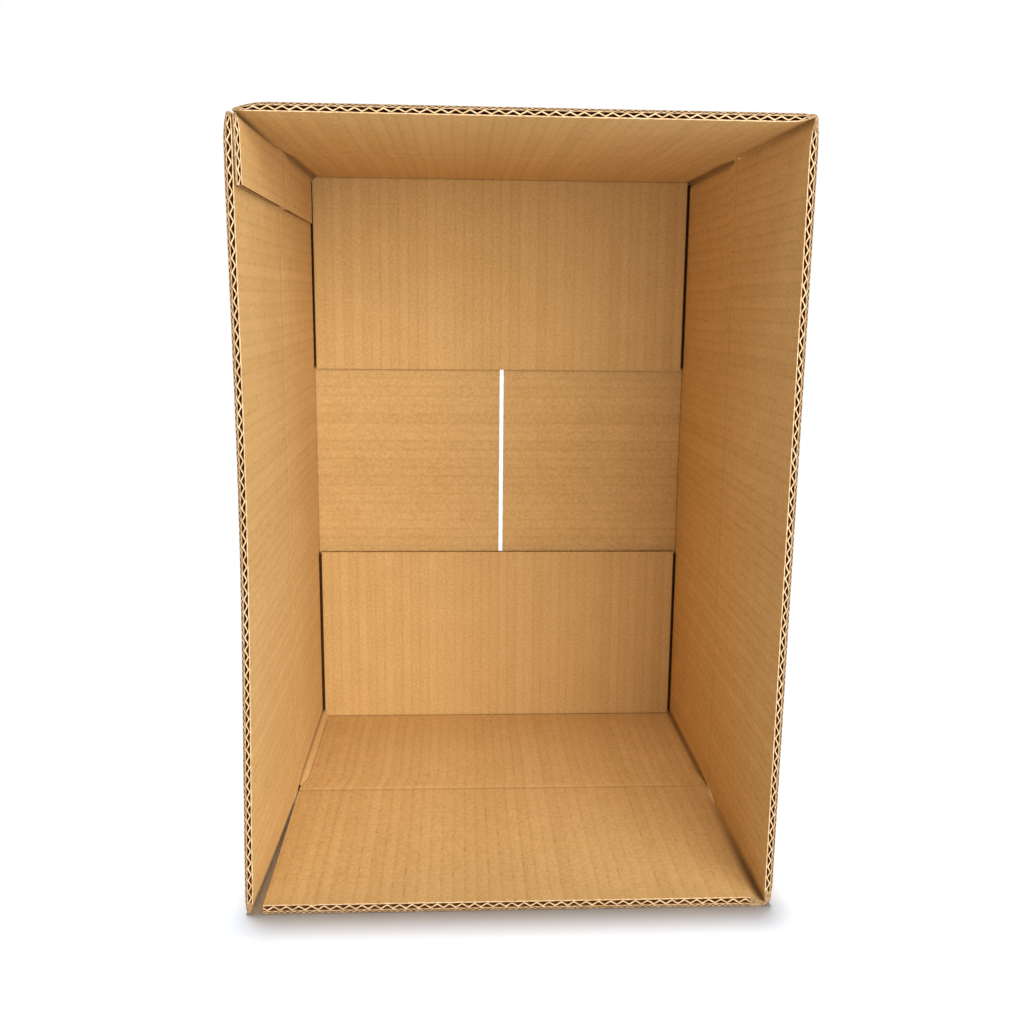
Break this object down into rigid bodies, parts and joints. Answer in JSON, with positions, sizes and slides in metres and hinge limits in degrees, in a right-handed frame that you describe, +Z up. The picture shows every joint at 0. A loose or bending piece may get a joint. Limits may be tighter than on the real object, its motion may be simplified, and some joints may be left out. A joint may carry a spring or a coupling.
{
  "type": "open cardboard box",
  "caption": "Open slotted carton of double-wall corrugated board, lying on an end wall, with hinged mouth flaps and a base of folded flaps.",
  "frame": {"origin": "under the middle of the box, on the surface that its lower end wall lies on", "axes": "+Z up along the long side of the mouth, +X across the mouth to the right, +Y into the box from the mouth to the base"},
  "size_m": [0.2678, 0.2678, 0.3928],
  "materials": {
    "corrugated_board": "uncoated brown kraft liner, matt"
  },
  "bodies": {
    "walls": {"wall_sleeve": "corrugated_board", "lower_inner_base_flap": "corrugated_board", "upper_inner_base_flap": "corrugated_board"},
    "lower_flap": {"lower_mouth_flap": "corrugated_board"},
    "upper_flap": {"upper_mouth_flap": "corrugated_board"},
    "right_flap": {"right_mouth_flap": "corrugated_board"},
    "left_flap": {"left_mouth_flap": "corrugated_board"},
    "left_base": {"left_outer_base_flap": "corrugated_board"},
    "right_base": {"right_outer_base_flap": "corrugated_board"}
  },
  "joints": [
    {"name": "lower_mouth_fold", "type": "hinge", "parent": "walls", "child": "lower_flap", "pos_m": [0, 0.0018, 0.0013], "axis": [-1, 0, 0], "range_deg": [-120, 90]},
    {"name": "upper_mouth_fold", "type": "hinge", "parent": "walls", "child": "upper_flap", "pos_m": [0, 0.0018, 0.3915], "axis": [1, 0, 0], "range_deg": [-120, 90]},
    {"name": "right_mouth_fold", "type": "hinge", "parent": "walls", "child": "right_flap", "pos_m": [0.1326, -0.0024, 0.1964], "axis": [0, 0, -1], "range_deg": [-120, 90]},
    {"name": "left_mouth_fold", "type": "hinge", "parent": "walls", "child": "left_flap", "pos_m": [-0.1326, -0.0054, 0.1964], "axis": [0, 0, 1], "range_deg": [-120, 90]},
    {"name": "left_base_fold", "type": "hinge", "parent": "walls", "child": "left_base", "pos_m": [-0.1326, 0.1326, 0.1964], "axis": [0, 0, 1], "range_deg": [0, 210]},
    {"name": "right_base_fold", "type": "hinge", "parent": "walls", "child": "right_base", "pos_m": [0.1326, 0.1326, 0.1964], "axis": [0, 0, -1], "range_deg": [0, 210]}
  ]
}
